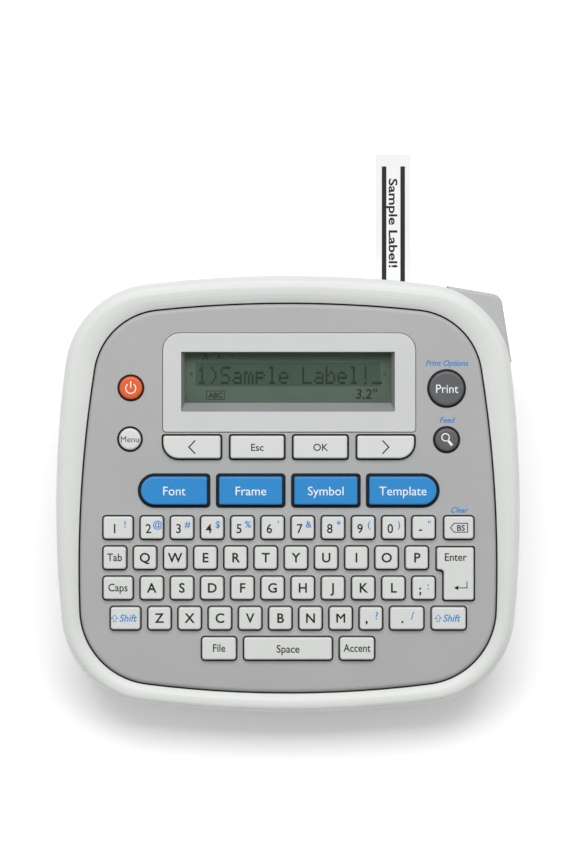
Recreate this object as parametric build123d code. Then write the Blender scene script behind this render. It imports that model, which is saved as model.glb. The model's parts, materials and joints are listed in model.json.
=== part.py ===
from build123d import *
import math
import os

# Desktop label maker. Millimetres, +Z up, the space key side faces -Y, and the origin is on the desk
# under the middle of the body. Most pieces are drawn in the face frame, which is the sloping top
# face: x to the right, v up the slope and w out of the face. FACE carries them into place.

# ---- Driving dimensions -------------------------------------------------------------------------
TILT = 18.0                 # slope of the face
FACE_Y = -4.6               # where the face frame's origin lies
FACE_Z = 44.9
WALL = 2.2                  # moulded case wall
CLEARANCE = 0.05            # radial clearance of a shaft that runs in a hole

CASE_SIDE, CASE_SIDE_V, CASE_SIDE_R = 78.5, -5.0, 380.0
CASE_REAR, CASE_REAR_R = 73.7, 400.0
CASE_FRONT, CASE_FRONT_R = 73.8, 380.0
CASE_CORNER_R = 31.0

PANEL_SIDE, PANEL_SIDE_V, PANEL_SIDE_R = 70.9, -25.0, 430.0
PANEL_REAR, PANEL_REAR_R = 64.6, 420.0
PANEL_FRONT, PANEL_FRONT_R = 67.7, 380.0
PANEL_REAR_CORNER_R, PANEL_FRONT_CORNER_R = 24.0, 26.0

RIM_HEIGHT = 1.4            # the rim's crest above the panel
RIM_LIP = 0.2               # flat width of the crest
RIM_CURVE = [(0, 0), (0.12, 0.27), (0.3, 0.57), (0.55, 0.84), (0.78, 0.96), (1, 1)]   # width, height
SHOULDER_HEIGHT = 3.6       # from the crest down to where the side wall is straight
SHOULDER_STEPS = 5
SHOULDER_SIDE, SHOULDER_REAR, SHOULDER_FRONT = 3.1, 3.9, 1.9
PANEL_THICKNESS = 2.2
PANEL_GAP = 0.3
PANEL_EDGE_R = 1.6
LEDGE = 2.5                 # the shelf under the panel's edge
LEDGE_THICKNESS = 2.5
PARTING_W = -16.0           # joint plane between the upper and lower case
PARTING_GAP = 0.3

FLOOR_Z = 1.5               # underside of the case, above the desk
REAR_FOOT_Y = 68.5          # the rear wall leans out from here ...
REAR_KNEE_Y, REAR_KNEE_Z = 74.6, 41.0   # ... to here, then follows the face's normal
FRONT_REACH = -95.0         # beyond the front wall
LOWER_W = -75.0             # below the whole case
BOTTOM_EDGE_R = 2.4

COVER_LEFT, COVER_RIGHT = -62.0, 53.5
COVER_FRONT_Y, COVER_TOP_Z = 8.0, 36.0
COVER_GAP = 0.3
THUMB_DEPTH = 1.0           # ribbed recess that the cover is pushed by

KEY_PITCH = 10.2
KEY_SIZE = 7.9
KEY_RISE = 1.9              # key tops above the panel
KEY_GAP = 0.35
KEY_CORNER_R = 1.1
KEY_TAPER = 4.0
ENTER_CORNER_R = 0.9
FLANGE_REACH = 0.65         # how far a key's flange reaches past the key, to hold it in
KEY_EDGE_R = 0.5
FLANGE_TOP_W, FLANGE_BOTTOM_W = -2.6, -3.4
STEM_BOTTOM_W, STEM_R = -4.4, 1.6
NUMBER_ROW_V = -11.5
FIRST_COLUMN_X, COLUMNS = -46.0, 10
SPACE_WIDTH, SPACE_ROW = 30.0, 4
ENTER = {"left": 50.1, "step": 52.4, "right": 62.9, "high": -18.0, "middle": -25.9, "low": -36.1}
ENTER_STEM_X, ENTER_STEM_ROW = 57.7, 1.3

NAV_V, NAV_HEIGHT, NAV_CORNER_R = 15.7, 8.0, 5.4
NAV_GAP, NAV_FLANGE_REACH = 0.45, 0.85
NAV_KEYS = {"left_key": (-42.3, -22.6), "escape_key": (-19.6, -1.2), "ok_key": (1.7, 20.2),
            "right_key": (23.2, 42.8)}
FUNCTION_V, FUNCTION_HEIGHT = 1.0, 9.9
FUNCTION_GAP, FUNCTION_FLANGE_REACH = 0.9, 1.25
FUNCTION_KEYS = {"font_key": (-49.9, -27.1), "frame_key": (-23.5, -1.7), "symbol_key": (1.9, 23.7),
                 "template_key": (27.2, 50.4)}
BAR_CORNER_R = 0.9          # square corners of the two bars of four keys

BUTTON_GAP, BUTTON_FLANGE_REACH = 0.55, 0.9
BUTTON_RISE, BUTTON_EDGE_R = 1.3, 0.8
ROUND_BUTTONS = {"power_button": (-53.1, 35.7, 8.1), "menu_button": (-53.4, 18.4, 7.7),
                 "print_button": (53.6, 35.5, 12.1), "preview_button": (53.6, 18.2, 8.2)}   # x, v, diameter

BEZEL_LEFT, BEZEL_RIGHT, BEZEL_LOW, BEZEL_HIGH = -42.3, 43.1, 20.8, 54.2
BEZEL_RISE, BEZEL_BOTTOM_W = 0.4, -3.6
BEZEL_CORNER_R, BEZEL_LOW_CORNER_R, BEZEL_EDGE_R = 5.8, 1.0, 0.35
BEZEL_GAP = 0.2
WINDOW_HALF, WINDOW_LOW, WINDOW_HIGH = 36.1, 27.7, 47.9
GLASS_HALF, GLASS_LOW, GLASS_HIGH = 35.0, 30.7, 47.6
WINDOW_MARGIN, WINDOW_THICKNESS = 1.2, 1.0      # the clear sheet behind the bezel
LCD_MARGIN, LCD_LOW_W, LCD_HIGH_W = 1.0, -6.7, -4.8

BOARD_TOP_W, BOARD_THICKNESS = -8.4, 1.6
MAT_THICKNESS = 0.8
DOME_TOP_W = -5.6

TAPE_WIDTH, TAPE_THICKNESS = 12.0, 0.3
TAPE_X, TAPE_W = 35.9, -14.0
TAPE_SLOT_MARGIN = 1.0
LABEL_START_V, LABEL_END_V = 67.0, 115.6
TAPE_END_V = 66.0

GEAR_MODULE = 0.5
GEAR_LEFT, GEAR_WIDTH = 16.4, 4.2
PLATEN_V, PLATEN_R = 56.0, 4.5
PLATEN_W = TAPE_W - TAPE_THICKNESS / 2 - PLATEN_R
PLATEN_TEETH, IDLER_TEETH, PINION_TEETH, TAKEUP_TEETH = 20, 36, 12, 24
IDLER_V, IDLER_W = 44.5, -26.64
PINION_V, PINION_W = 35.0, -19.30
TAKEUP_V, TAKEUP_W = 40.3, -41.04
SHAFT_R = 1.5

PLATE_LEFT, PLATE_RIGHT, PLATE_THICKNESS = 23.0, 48.0, 1.5
CASSETTE_LEFT, CASSETTE_RIGHT, CASSETTE_WALL = 25.0, 47.0, 1.0
ROLL_V, ROLL_R = 25.0, 13.9
ROLL_W = TAPE_W - TAPE_THICKNESS / 2 - 0.1 - ROLL_R
RIBBON_V, RIBBON_W, RIBBON_R = 45.5, -25.0, 4.4

HEAD_PIVOT_V, HEAD_PIVOT_W, HEAD_PIVOT_R = 47.0, -10.8, 0.8
LEVER_PIVOT_X, LEVER_PIVOT_W, LEVER_PIVOT_R = 50.5, -17.0, 1.2
LEVER_PIN_FRONT_V, LEVER_PIN_REAR_V = 58.1, 67.3
ARM_FRONT_V, ARM_REAR_V = 62.6, 66.1            # the lever's arm, seen from the side
PAD_BOTTOM_W, PAD_TOP_W = -24.0, -6.0
RELEASE_X, RELEASE_V, RELEASE_W, RELEASE_THICKNESS = 50.0, 42.0, -30.0, 1.8
NOTCH_X, NOTCH_V, NOTCH_TOP_W, NOTCH_BOTTOM_W = 52.4, 43.8, -5.5, -31.0

CELL_R, CELL_LENGTH, CELL_COUNT = 5.2, 44.5, 6
CELL_PITCH, CELL_FIRST_X = 10.9, -52.0
CELL_START_Y, CELL_Z = 12.6, 10.3

JACK_RIGHT, JACK_V, JACK_W = 75.6, 12.5, -25.5  # the adapter inlet's face and middle
JACK_SIZE, JACK_DEPTH, JACK_BORE_R, JACK_CLEARANCE = 8.4, 11.0, 2.9, 0.3

FOOT_R = 4.5
FEET = [(-67.0, 34.0), (62.5, 34.0), (-50.0, -50.0), (50.0, -50.0)]
BOSS_R, SCREW_R = 3.4, 1.3
BOSSES = [(-67.2, -42.0), (67.2, -42.0), (-67.0, 38.0), (67.5, 30.0)]

FACE = Pos(0, FACE_Y, FACE_Z) * Rot(TILT, 0, 0)
SIDE_PLANE = Plane(origin=(0, 0, 0), x_dir=(0, 1, 0), z_dir=(1, 0, 0))   # sketches in (y, z), grows to +x
os.makedirs("parts", exist_ok=True)


# ---- Helpers ------------------------------------------------------------------------------------
def save(name, shape, location=FACE):
    """Write one named piece, moved from the frame it was drawn in."""
    placed = location * shape
    solids = placed.solids()
    export_step(Compound(children=solids) if len(solids) > 1 else solids[0], f"parts/{name}.step")


def block(low, high):
    """A box between two corners."""
    size = [b - a for a, b in zip(low, high)]
    middle = [(a + b) / 2 for a, b in zip(low, high)]
    return Pos(*middle) * Box(*size)


def slab(sketch, low, high, taper=0):
    """A flat outline grown from w = low to w = high."""
    return Pos(0, 0, low) * extrude(sketch, high - low, taper=taper)


def side_slab(sketch, left, right):
    """An outline in (v, w) grown from x = left to x = right."""
    return Pos(left, 0, 0) * extrude(SIDE_PLANE * sketch, right - left)


def rod_x(v, w, radius, left, right):
    """A round bar along x."""
    return side_slab(Pos(v, w) * Circle(radius), left, right)


def rod_w(x, v, radius, low, high):
    """A round bar along w."""
    return slab(Pos(x, v) * Circle(radius), low, high)


def rod_v(x, w, radius, start, end):
    """A round bar along v."""
    return Pos(x, (start + end) / 2, w) * Rot(90, 0, 0) * Cylinder(radius, end - start)


def bowed_outline(side, side_v, side_r, rear, rear_r, front, front_r, rear_corner, front_corner):
    """Four bowed sides with rounded corners."""
    shape = Pos(side - side_r, side_v) * Circle(side_r)
    shape &= Pos(side_r - side, side_v) * Circle(side_r)
    shape &= Pos(0, rear - rear_r) * Circle(rear_r)
    shape &= Pos(0, front_r - front) * Circle(front_r)
    corners = shape.vertices().sort_by(Axis.Y)
    shape = fillet(corners[:2], front_corner)
    corners = shape.vertices().sort_by(Axis.Y)[-2:]
    return fillet(corners, rear_corner)


def case_sizes(side=0, rear=0, front=0):
    """What bowed_outline needs for the case, moved inwards by the given amounts."""
    corner = CASE_CORNER_R - (side + rear + front) / 3
    return (CASE_SIDE - side, CASE_SIDE_V, CASE_SIDE_R - side, CASE_REAR - rear, CASE_REAR_R - rear,
            CASE_FRONT - front, CASE_FRONT_R - front, corner, corner)


def case_outline(side=0, rear=0, front=0):
    return bowed_outline(*case_sizes(side, rear, front))


def panel_sizes(inset=0):
    """What bowed_outline needs for the grey panel, moved inwards."""
    return (PANEL_SIDE - inset, PANEL_SIDE_V, PANEL_SIDE_R - inset, PANEL_REAR - inset, PANEL_REAR_R - inset,
            PANEL_FRONT - inset, PANEL_FRONT_R - inset,
            PANEL_REAR_CORNER_R - inset, PANEL_FRONT_CORNER_R - inset)


def panel_outline(inset=0):
    return bowed_outline(*panel_sizes(inset))


# ---- Case ---------------------------------------------------------------------------------------
def side_profile(inset=0):
    """What the case may fill, seen from the side: a flat floor and a leaning rear wall."""
    floor = FLOOR_Z + inset
    lean = (REAR_KNEE_Y - REAR_FOOT_Y) / (REAR_KNEE_Z - FLOOR_Z)
    rear_foot = REAR_FOOT_Y - inset + lean * inset
    rise = 80.0
    top_y = REAR_KNEE_Y - inset + rise * math.tan(math.radians(TILT))
    points = [(FRONT_REACH, floor), (rear_foot, floor), (REAR_KNEE_Y - inset, REAR_KNEE_Z),
              (top_y, REAR_KNEE_Z + rise), (FRONT_REACH, REAR_KNEE_Z + rise)]
    sketch = make_face(Polyline(*points, close=True))
    return side_slab(sketch, -CASE_SIDE - 5, CASE_SIDE + 5)


def case_block(inset, low_w, high_w):
    """The case's solid form between two depths, in the face frame."""
    prism = slab(case_outline(inset, inset, inset), low_w, high_w)
    return prism & (FACE.inverse() * side_profile(inset))


def lower_block():
    """The lower case's outer form, with its bottom edge rounded."""
    body = FACE * case_block(0, LOWER_W, PARTING_W - PARTING_GAP)
    body = fillet(body.faces().sort_by(Axis.Z)[0].edges(), BOTTOM_EDGE_R)
    return FACE.inverse() * body


def rim_top():
    """The sloping shoulder between the straight wall and the rim's crest."""
    rings = []
    for step in range(SHOULDER_STEPS + 1):
        turn = math.pi / 2 * step / SHOULDER_STEPS
        share = 1 - math.cos(turn)
        height = RIM_HEIGHT - SHOULDER_HEIGHT * (1 - math.sin(turn))
        outline = case_outline(SHOULDER_SIDE * share, SHOULDER_REAR * share, SHOULDER_FRONT * share)
        rings.append(Pos(0, 0, height) * outline)
    return loft(rings, ruled=True)


def inner_band():
    """The hollow inside the rim: its wall rises steeply from the panel's groove and flattens to the crest."""
    low = panel_sizes()
    high = case_sizes(SHOULDER_SIDE + RIM_LIP, SHOULDER_REAR + RIM_LIP, SHOULDER_FRONT + RIM_LIP)
    rings = []
    for width, height in RIM_CURVE:
        sizes = [a + (b - a) * width for a, b in zip(low, high)]
        rings.append(Pos(0, 0, (RIM_HEIGHT + 0.01) * height) * bowed_outline(*sizes))
    return loft(rings, ruled=True)


def lever_notch():
    return block((NOTCH_X, NOTCH_V, NOTCH_BOTTOM_W), (CASE_SIDE + 5, CASE_REAR + 5, NOTCH_TOP_W))


def bosses(low_w, high_w):
    """Screw towers that join the two halves of the case."""
    return [rod_w(x, v, BOSS_R, low_w, high_w) for x, v in BOSSES]


def top_case():
    body = slab(case_outline(), PARTING_W, RIM_HEIGHT - SHOULDER_HEIGHT) + rim_top()
    body -= slab(case_outline(WALL, WALL, WALL), PARTING_W, -PANEL_THICKNESS - LEDGE_THICKNESS)
    body -= slab(panel_outline(LEDGE), -PANEL_THICKNESS - LEDGE_THICKNESS, -PANEL_THICKNESS)
    body -= slab(panel_outline(), -PANEL_THICKNESS, 0)
    body -= inner_band()
    body -= lever_notch()
    half = TAPE_WIDTH / 2 + TAPE_SLOT_MARGIN
    body -= block((TAPE_X - half, CASE_REAR - 8, TAPE_W - TAPE_SLOT_MARGIN),
                  (TAPE_X + half, CASE_REAR + 5, TAPE_W + TAPE_SLOT_MARGIN))
    ledge_w = -PANEL_THICKNESS - LEDGE_THICKNESS
    inside = slab(case_outline(1, 1, 1), PARTING_W, ledge_w)
    for boss in bosses(PARTING_W, ledge_w):
        body += boss & inside
    for x, v in BOSSES:
        body -= rod_w(x, v, SCREW_R, PARTING_W, PARTING_W + 9)
    return body


def cover_zone(gap):
    """The part of the lower case that the rear cover takes up, in the desk frame."""
    return block((COVER_LEFT - gap, COVER_FRONT_Y - gap, -5), (COVER_RIGHT + gap, 100, COVER_TOP_Z + gap))


def battery_bay():
    """Walls round the cells, open below, where the cover closes them in."""
    left = CELL_FIRST_X - CELL_R - 0.6
    right = CELL_FIRST_X + CELL_PITCH * (CELL_COUNT - 1) + CELL_R + 0.6
    rear = CELL_START_Y + CELL_LENGTH + 1.6
    top = CELL_Z + CELL_R + 0.6
    wall = 1.4
    floor = FLOOR_Z + WALL + 0.4
    bay = block((left - wall, COVER_FRONT_Y - 1, floor), (right + wall, rear + wall, top + wall))
    bay -= block((left, CELL_START_Y - 1.6, floor - 1), (right, rear, top))
    bulkhead_rear = COVER_FRONT_Y - 0.5
    bay += block((COVER_LEFT, bulkhead_rear - 1.8, FLOOR_Z), (COVER_RIGHT, bulkhead_rear, top + wall))
    return bay


def base_case():
    low, high = LOWER_W, PARTING_W - PARTING_GAP
    body = lower_block() - case_block(WALL, low, high + 1)
    body -= lever_notch()
    inside = case_block(1, low, high)
    for boss in bosses(low, high):
        body += boss & inside
    for x, v in BOSSES:
        body -= rod_w(x, v, SCREW_R + 0.3, low, high)
        body -= rod_w(x, v, SCREW_R + 1.4, low, high - 8)
    body -= FACE.inverse() * cover_zone(COVER_GAP)
    body += FACE.inverse() * battery_bay()
    half = JACK_SIZE / 2 + JACK_CLEARANCE
    body -= block((CASE_SIDE - 8, JACK_V - half, JACK_W - half),
                  (CASE_SIDE + 5, JACK_V + half, JACK_W + half))
    return body


def rear_cover():
    """The sliding cover, with six shallow grooves behind and a thumb recess below."""
    shell = lower_block() - case_block(WALL, LOWER_W, PARTING_W)
    shell = (FACE * shell) & cover_zone(0)
    for step in range(6):
        z = 12.0 + 3.0 * step
        groove_y = REAR_FOOT_Y + (REAR_KNEE_Y - REAR_FOOT_Y) * (z - FLOOR_Z) / (REAR_KNEE_Z - FLOOR_Z)
        shell -= block((-22, groove_y - 0.7, z - 0.6), (14, groove_y + 5, z + 0.6))
    shell -= block((-20, COVER_FRONT_Y + 4, FLOOR_Z), (12, COVER_FRONT_Y + 16, FLOOR_Z + THUMB_DEPTH))
    for rib in range(4):
        rib_y = COVER_FRONT_Y + 6 + 2.4 * rib
        shell += block((-17, rib_y, FLOOR_Z + THUMB_DEPTH / 2), (9, rib_y + 1, FLOOR_Z + THUMB_DEPTH))
    return shell


# ---- Keys ---------------------------------------------------------------------------------------
def key_places():
    """Every keyboard key: row name, centre x, centre v and width."""
    columns = [FIRST_COLUMN_X + KEY_PITCH * n for n in range(COLUMNS)]
    wide = 10.2
    rows = {
        "number_keys": [(-57.4, wide)] + [(x, KEY_SIZE) for x in columns] + [(57.7, wide)],
        "upper_letter_keys": [(-58.5, 8.0)] + [(x - 2.3, KEY_SIZE) for x in columns],
        "home_letter_keys": [(-57.4, wide)] + [(x, KEY_SIZE) for x in columns],
        "lower_letter_keys": [(-54.9, 10.3)] + [(-43.4 + KEY_PITCH * n, KEY_SIZE) for n in range(8)]
                             + [(40.1, 11.6), (54.3, 11.8)],
        "shortcut_keys": [(-23.3, 11.8), (23.3, 11.9)],
    }
    return rows


def row_v(index):
    return NUMBER_ROW_V - KEY_PITCH * index


def cap(outline, wide_outline, stem_x, stem_v, rise=KEY_RISE, edge_r=KEY_EDGE_R):
    """A key: tapered cap, flange under the panel and a stem that meets the rubber dome."""
    body = slab(outline, FLANGE_TOP_W, rise, taper=KEY_TAPER)
    top_edges = body.faces().sort_by(Axis.Z)[-1].edges()
    body = fillet(top_edges, edge_r)
    body += slab(wide_outline, FLANGE_BOTTOM_W, FLANGE_TOP_W)
    body += rod_w(stem_x, stem_v, STEM_R, STEM_BOTTOM_W, FLANGE_BOTTOM_W)
    return body


def key_outline(x, v, width, grow=0):
    return Pos(x, v) * RectangleRounded(width + 2 * grow, KEY_SIZE + 2 * grow, KEY_CORNER_R + grow)


def plain_key(x, v, width):
    """A rectangular key of the keyboard."""
    return cap(key_outline(x, v, width), key_outline(x, v, width, FLANGE_REACH), x, v)


def enter_outline(grow=0):
    e = ENTER
    points = [(e["left"] - grow, e["middle"] - grow), (e["step"] - grow, e["middle"] - grow),
              (e["step"] - grow, e["low"] - grow), (e["right"] + grow, e["low"] - grow),
              (e["right"] + grow, e["high"] + grow), (e["left"] - grow, e["high"] + grow)]
    shape = make_face(Polyline(*points, close=True))
    return fillet(shape.vertices(), ENTER_CORNER_R)


def corner_rectangle(left, right, low, high, radii):
    """A rectangle with its own radius at each corner: low left, low right, high right, high left."""
    corners = [(left, low), (right, low), (right, high), (left, high)]
    shape = make_face(Polyline(*corners, close=True))
    for (x, y), radius in zip(corners, radii):
        near = min(shape.vertices(), key=lambda vertex: math.hypot(vertex.X - x, vertex.Y - y))
        shape = fillet(near, radius)
    return shape


def nav_outline(name, grow=0):
    left, right = NAV_KEYS[name]
    small, big = BAR_CORNER_R + grow / 2, NAV_CORNER_R + grow
    radii = [big if name == "left_key" else small, big if name == "right_key" else small, small, small]
    half = NAV_HEIGHT / 2 + grow
    return corner_rectangle(left - grow, right + grow, NAV_V - half, NAV_V + half, radii)


def function_outline(name, grow=0):
    left, right = FUNCTION_KEYS[name]
    half = FUNCTION_HEIGHT / 2 + grow
    small, big = BAR_CORNER_R + grow / 2, half - 0.05
    left_r = big if name == "font_key" else small
    right_r = big if name == "template_key" else small
    radii = [left_r, right_r, right_r, left_r]
    return corner_rectangle(left - grow, right + grow, FUNCTION_V - half, FUNCTION_V + half, radii)


def round_button(name):
    x, v, size = ROUND_BUTTONS[name]
    outline = Pos(x, v) * Circle(size / 2)
    flange = Pos(x, v) * Circle(size / 2 + BUTTON_FLANGE_REACH)
    return cap(outline, flange, x, v, BUTTON_RISE, BUTTON_EDGE_R)


def panel_holes():
    """Everything that passes through the grey panel."""
    holes = []
    for index, keys in enumerate(key_places().values()):
        holes += [key_outline(x, row_v(index), width, KEY_GAP) for x, width in keys]
    holes.append(key_outline(0, row_v(SPACE_ROW), SPACE_WIDTH, KEY_GAP))
    holes.append(enter_outline(KEY_GAP))
    holes += [nav_outline(name, NAV_GAP) for name in NAV_KEYS]
    holes += [function_outline(name, FUNCTION_GAP) for name in FUNCTION_KEYS]
    holes += [Pos(x, v) * Circle(size / 2 + BUTTON_GAP) for x, v, size in ROUND_BUTTONS.values()]
    holes.append(bezel_outline(BEZEL_GAP))
    return holes


# ---- Panel and display --------------------------------------------------------------------------
def bezel_outline(grow=0):
    small, big = BEZEL_LOW_CORNER_R + grow, BEZEL_CORNER_R + grow
    return corner_rectangle(BEZEL_LEFT - grow, BEZEL_RIGHT + grow, BEZEL_LOW - grow, BEZEL_HIGH + grow,
                            [small, small, big, big])


def face_panel():
    body = slab(panel_outline(PANEL_GAP), -PANEL_THICKNESS, 0)
    body = fillet(body.faces().sort_by(Axis.Z)[-1].edges(), PANEL_EDGE_R)
    for hole in panel_holes():
        body -= slab(hole, -PANEL_THICKNESS - 1, 1)
    return body


def window_funnel():
    high = Pos(0, (WINDOW_LOW + WINDOW_HIGH) / 2) * Rectangle(2 * WINDOW_HALF, WINDOW_HIGH - WINDOW_LOW)
    low = Pos(0, (GLASS_LOW + GLASS_HIGH) / 2) * Rectangle(2 * GLASS_HALF, GLASS_HIGH - GLASS_LOW)
    return loft([Pos(0, 0, BEZEL_BOTTOM_W) * low, Pos(0, 0, BEZEL_RISE) * high], ruled=True)


def display_bezel():
    body = slab(bezel_outline(), BEZEL_BOTTOM_W, BEZEL_RISE)
    body = fillet(body.faces().sort_by(Axis.Z)[-1].edges(), BEZEL_EDGE_R)
    return body - window_funnel()


def display_sheet(margin, low, high):
    """A flat rectangular layer behind the window."""
    half = GLASS_HALF + margin
    return block((-half, GLASS_LOW - margin, low), (half, GLASS_HIGH + margin, high))


def lcd_frame():
    frame = display_sheet(3.4, BOARD_TOP_W + 0.1, -4.9)
    return frame - display_sheet(1.4, -6.8, -4.0)


def lcd_ribbon():
    """Flat cable from the display's lower edge down to the board."""
    return block((-12, GLASS_LOW - 6.0, BOARD_TOP_W), (12, GLASS_LOW - 3.4, BOARD_TOP_W + 0.5))


def dome_places():
    places = [(x, row_v(index)) for index, keys in enumerate(key_places().values()) for x, width in keys]
    places += [(0, row_v(SPACE_ROW)), (ENTER_STEM_X, row_v(ENTER_STEM_ROW))]
    places += [((left + right) / 2, NAV_V) for left, right in NAV_KEYS.values()]
    places += [((left + right) / 2, FUNCTION_V) for left, right in FUNCTION_KEYS.values()]
    places += [(x, v) for x, v, size in ROUND_BUTTONS.values()]
    return places


def keypad_mat():
    low, high = BOARD_TOP_W, BOARD_TOP_W + MAT_THICKNESS
    mat = block((-63, -57, low), (63, 21.5, high))
    for side in (-1, 1):
        mat += block((side * 55 - 7.5, 21, low), (side * 55 + 7.5, 42.5, high))
    for x, v in dome_places():
        mat += rod_w(x, v, 2.2, high, DOME_TOP_W)
    return mat


def main_board():
    low = BOARD_TOP_W - BOARD_THICKNESS
    board = block((-60, -58, low), (60, 44, BOARD_TOP_W))
    return board - block((20, 36, low - 1), (48, 50, BOARD_TOP_W + 1))


def board_chips():
    low, high = BOARD_TOP_W - BOARD_THICKNESS - 1.8, BOARD_TOP_W - BOARD_THICKNESS
    sizes = [(-30, -20, 12, 12), (-8, -24, 9, 7), (14, -20, 6, 10), (-34, 4, 14, 6), (30, -30, 7, 7)]
    return Part() + [block((x, v, low), (x + width, v + height, high)) for x, v, width, height in sizes]


# ---- Tape drive ---------------------------------------------------------------------------------
def involute(angle):
    return math.tan(angle) - angle


def gear_outline(teeth, phase):
    """A spur gear's outline, with a tooth centred on the angle phase, in degrees."""
    pitch_r = GEAR_MODULE * teeth / 2
    pressure = math.radians(20)
    base_r = pitch_r * math.cos(pressure)
    root_r, tip_r = pitch_r - 1.25 * GEAR_MODULE, pitch_r + 0.85 * GEAR_MODULE
    half_tooth = 0.82 * math.pi / (2 * teeth)
    flank_start = max(base_r, root_r + 0.02)
    radii = [flank_start + (tip_r - flank_start) * n / 3 for n in range(4)]
    points = []
    for tooth in range(teeth):
        middle = math.radians(phase) + 2 * math.pi * tooth / teeth
        flank = []
        for r in radii:
            narrowing = involute(math.acos(min(1, base_r / r))) - involute(pressure)
            flank.append((r, half_tooth - narrowing))
        outward = [(root_r, flank[0][1])] + flank
        for r, half in outward:
            points.append((r * math.cos(middle - half), r * math.sin(middle - half)))
        for r, half in reversed(outward):
            points.append((r * math.cos(middle + half), r * math.sin(middle + half)))
    return make_face(Polyline(*points, close=True))


def mesh_phase(teeth, v, w):
    """The phase at which a gear at (v, w) meshes with the idler, whose own phase is 0."""
    direction = math.degrees(math.atan2(w - IDLER_W, v - IDLER_V))
    offset = -direction / (360 / IDLER_TEETH)
    return direction + 180 - (offset + 0.5) * 360 / teeth


def gear(teeth, v, w, bore, phase):
    body = side_slab(Pos(v, w) * gear_outline(teeth, phase), GEAR_LEFT, GEAR_LEFT + GEAR_WIDTH)
    return body - rod_x(v, w, bore, GEAR_LEFT - 1, GEAR_LEFT + GEAR_WIDTH + 1)


def mechanism_frame():
    """Two side plates, cross bars, the idler's stub, the motor bracket and the lever pin's block."""
    points = [(30, -46), (58, -46), (61.5, -30), (61.5, -9.2), (44.5, -9.2), (44.5, -12.2), (30, -12.2)]
    outline = make_face(Polyline(*points, close=True))
    frame = side_slab(outline, PLATE_LEFT, PLATE_LEFT + PLATE_THICKNESS)
    frame += side_slab(outline, PLATE_RIGHT, PLATE_RIGHT + PLATE_THICKNESS)
    inner_left, inner_right = PLATE_LEFT + PLATE_THICKNESS, PLATE_RIGHT
    frame += block((inner_left, 54, -30), (inner_right, 60, -27))
    frame += block((inner_left, 52.4, -45), (inner_right, 54, -38))
    frame += rod_x(IDLER_V, IDLER_W, SHAFT_R, GEAR_LEFT - 0.4, PLATE_LEFT)
    bracket_left = GEAR_LEFT - 1.8
    frame += block((bracket_left, 27, -28), (bracket_left + 1.4, 41, -12.4))
    frame -= rod_x(PINION_V, PINION_W, 2.5, bracket_left - 1, bracket_left + 1.4)
    for w in (-14.5, -26):
        frame += rod_x(31, w, 1.4, bracket_left + 1.4, PLATE_LEFT)
    frame += block((PLATE_RIGHT + PLATE_THICKNESS, 58, -20), (52.2, 61.5, -14))
    frame += rod_x(RELEASE_V, RELEASE_W, SHAFT_R, PLATE_RIGHT + PLATE_THICKNESS, RELEASE_X + 2.4)
    for v, w, radius in [(PLATEN_V, PLATEN_W, SHAFT_R), (TAKEUP_V, TAKEUP_W, SHAFT_R),
                         (HEAD_PIVOT_V, HEAD_PIVOT_W, HEAD_PIVOT_R)]:
        frame -= rod_x(v, w, radius + CLEARANCE, PLATE_LEFT - 1, PLATE_RIGHT + PLATE_THICKNESS)
    frame -= rod_v(LEVER_PIVOT_X, LEVER_PIVOT_W, LEVER_PIVOT_R, 55, 75)
    return frame


def platen_core():
    return rod_x(PLATEN_V, PLATEN_W, SHAFT_R, GEAR_LEFT, PLATE_RIGHT + PLATE_THICKNESS)


def platen_rubber():
    body = rod_x(PLATEN_V, PLATEN_W, PLATEN_R, TAPE_X - 7.4, TAPE_X + 7.4)
    return body - rod_x(PLATEN_V, PLATEN_W, SHAFT_R, TAPE_X - 9, TAPE_X + 9)


def idler_gear():
    return gear(IDLER_TEETH, IDLER_V, IDLER_W, SHAFT_R + CLEARANCE, 0)


def feed_motor():
    right = GEAR_LEFT - 1.8
    body = rod_x(PINION_V, PINION_W, 7.4, right - 19, right)
    return body + rod_x(PINION_V, PINION_W, 2.0, right, right + 1.2)


def motor_pinion():
    body = gear(PINION_TEETH, PINION_V, PINION_W, 0.75, mesh_phase(PINION_TEETH, PINION_V, PINION_W))
    return body + rod_x(PINION_V, PINION_W, 0.75, GEAR_LEFT - 0.4, GEAR_LEFT + GEAR_WIDTH)


def takeup_gear():
    body = gear(TAKEUP_TEETH, TAKEUP_V, TAKEUP_W, SHAFT_R, mesh_phase(TAKEUP_TEETH, TAKEUP_V, TAKEUP_W))
    return body + rod_x(TAKEUP_V, TAKEUP_W, SHAFT_R, GEAR_LEFT, CASSETTE_RIGHT - CASSETTE_WALL - 0.4)


def spool(v, w, radius, bore):
    left, right = CASSETTE_LEFT + CASSETTE_WALL + 0.4, CASSETTE_RIGHT - CASSETTE_WALL - 0.4
    return rod_x(v, w, radius, left, right) - rod_x(v, w, bore, left - 1, right + 1)


def tape_roll():
    half = TAPE_WIDTH / 2
    return (rod_x(ROLL_V, ROLL_W, ROLL_R, TAPE_X - half, TAPE_X + half)
            - rod_x(ROLL_V, ROLL_W, 5.0 + CLEARANCE, TAPE_X - 9, TAPE_X + 9))


def cassette_outline():
    points = [(9.5, -12.6), (51.2, -12.6), (51.2, -47.5), (30, -47.5), (9.5, -43)]
    return make_face(Polyline(*points, close=True))


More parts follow.
